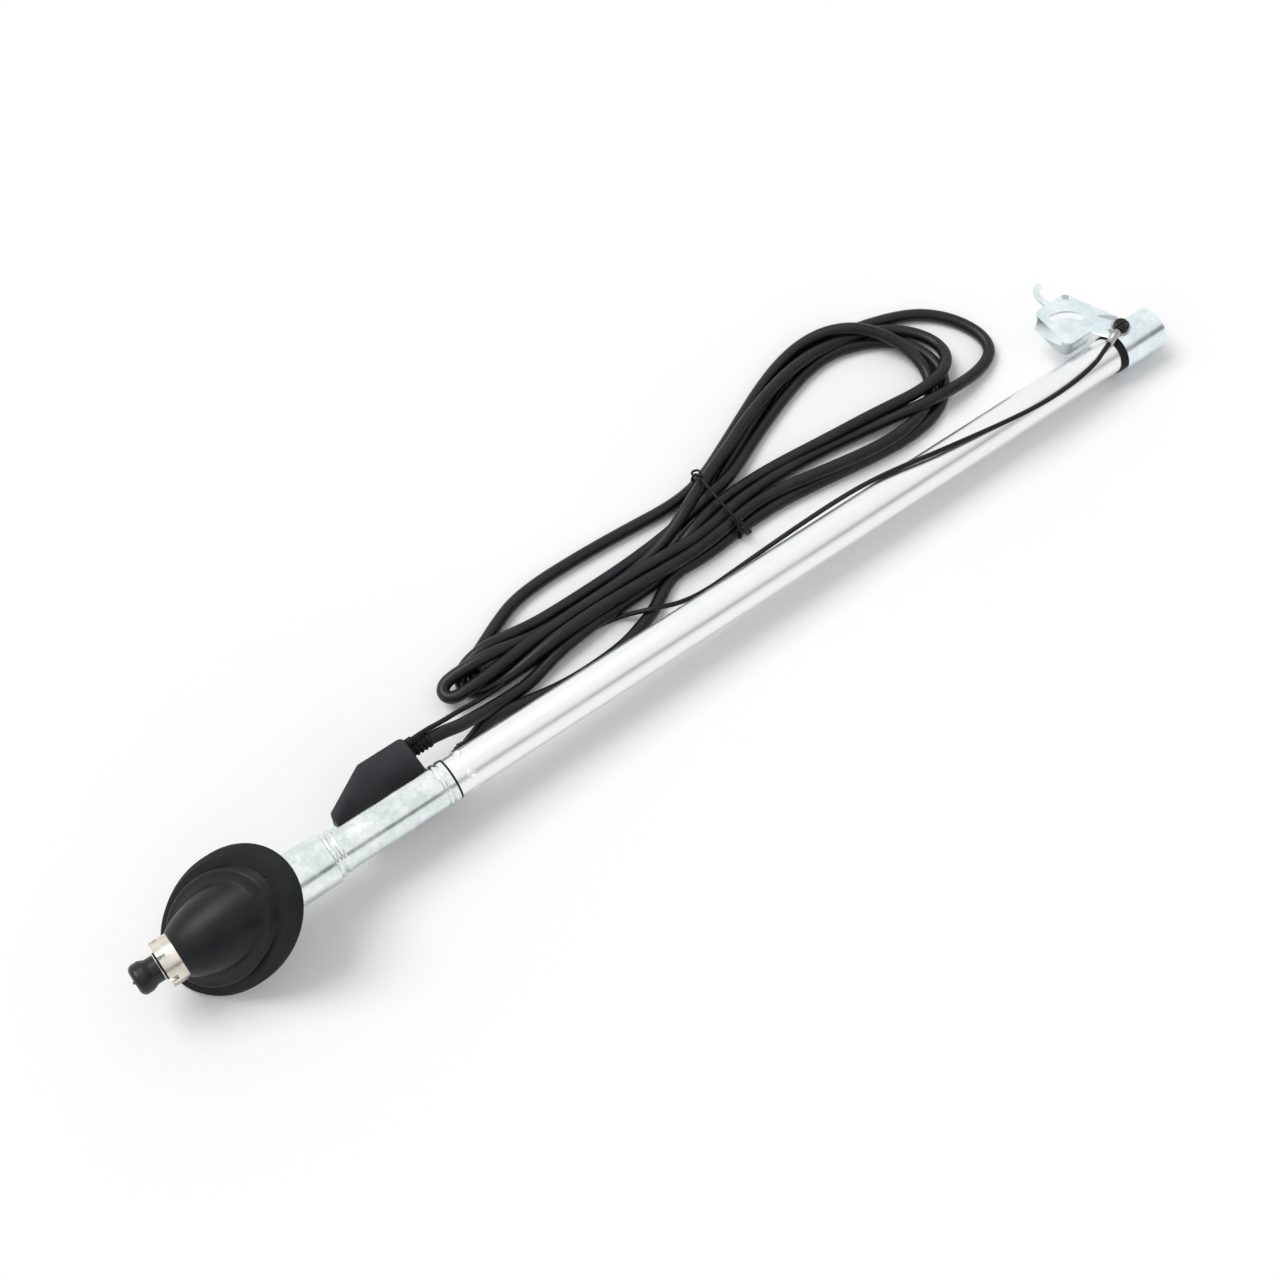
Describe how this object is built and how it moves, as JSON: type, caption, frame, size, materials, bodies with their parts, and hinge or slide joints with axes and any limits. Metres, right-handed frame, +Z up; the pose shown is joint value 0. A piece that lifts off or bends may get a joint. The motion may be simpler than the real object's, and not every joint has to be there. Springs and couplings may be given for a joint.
{
  "type": "telescopic car antenna",
  "caption": "Retractable car antenna lying down: sliding mast in a bright tube, slanted rubber base with bell and ring nut, junction box, foot bracket, earth lead and coax in a tied hank.",
  "frame": {"origin": "middle of the antenna's footprint (cords left out) on the ground it lies on", "axes": "+X runs from the mast tip towards the foot bracket, +Y away from the mast on the junction box's side, +Z up"},
  "size_m": [0.4928, 0.1104, 0.047],
  "materials": {
    "knob_plastic": "satin black moulding",
    "mast_chrome": "bright chromed brass",
    "nylon": "natural nylon",
    "nut_nickel": "nickel plate",
    "cap_plastic": "satin black moulding",
    "pad_rubber": "moulded rubber",
    "zinc_steel": "zinc plated, bluish",
    "brass": "bare brass",
    "insulator": "black plastic",
    "box_plastic": "satin black moulding",
    "tube_metal": "bright drawn tube",
    "band_rubber": "rubber sleeve",
    "screw_black": "blackened screw",
    "tinned_brass": "tinned",
    "cord_sheath": "satin cable sheath",
    "lead_sheath": "satin thin sheath",
    "tie_wire": "covered wire tie",
    "plug_metal": "nickel plate"
  },
  "bodies": {
    "base": {"guide_bush": "insulator", "castle_nut": "nut_nickel", "bell_cap": "cap_plastic", "sealing_pad": "pad_rubber", "head_stem": "zinc_steel", "clamp_collar": "zinc_steel", "head_sleeve": "zinc_steel", "contact_holder": "nylon", "contact_spring": "brass", "joint_insulator": "insulator", "junction_box": "box_plastic", "coax_gland": "box_plastic", "lead_grommet": "box_plastic", "main_tube": "tube_metal", "tube_liner": "nylon", "tube_end_plug": "insulator", "clamp_liner": "band_rubber", "lower_bracket": "zinc_steel", "ground_screw": "screw_black", "ring_terminal": "tinned_brass", "coax_lead": "cord_sheath", "coax_tail": "cord_sheath", "ground_lead": "lead_sheath", "coax_hank": "cord_sheath", "hank_tie": "tie_wire", "plug_shell": "plug_metal", "plug_core": "nylon", "plug_pin": "plug_metal", "plug_boot": "cap_plastic"},
    "mast_1": {"mast_section_1": "mast_chrome", "mast_foot": "nylon"},
    "mast_2": {"mast_section_2": "mast_chrome"},
    "mast_3": {"mast_section_3": "mast_chrome"},
    "mast_tip": {"mast_rod": "mast_chrome", "tip_knob": "knob_plastic"}
  },
  "joints": [
    {"name": "mast_1_slide", "type": "slide", "parent": "base", "child": "mast_1", "axis": [-0.9995, 0, 0.0309], "range_m": [0, 0.268]},
    {"name": "mast_2_slide", "type": "slide", "parent": "mast_1", "child": "mast_2", "axis": [-0.9995, 0, 0.0309], "range_m": [0, 0.38]},
    {"name": "mast_3_slide", "type": "slide", "parent": "mast_2", "child": "mast_3", "axis": [-0.9995, 0, 0.0309], "range_m": [0, 0.37]},
    {"name": "mast_tip_slide", "type": "slide", "parent": "mast_3", "child": "mast_tip", "axis": [-0.9995, 0, 0.0309], "range_m": [0, 0.36]}
  ]
}
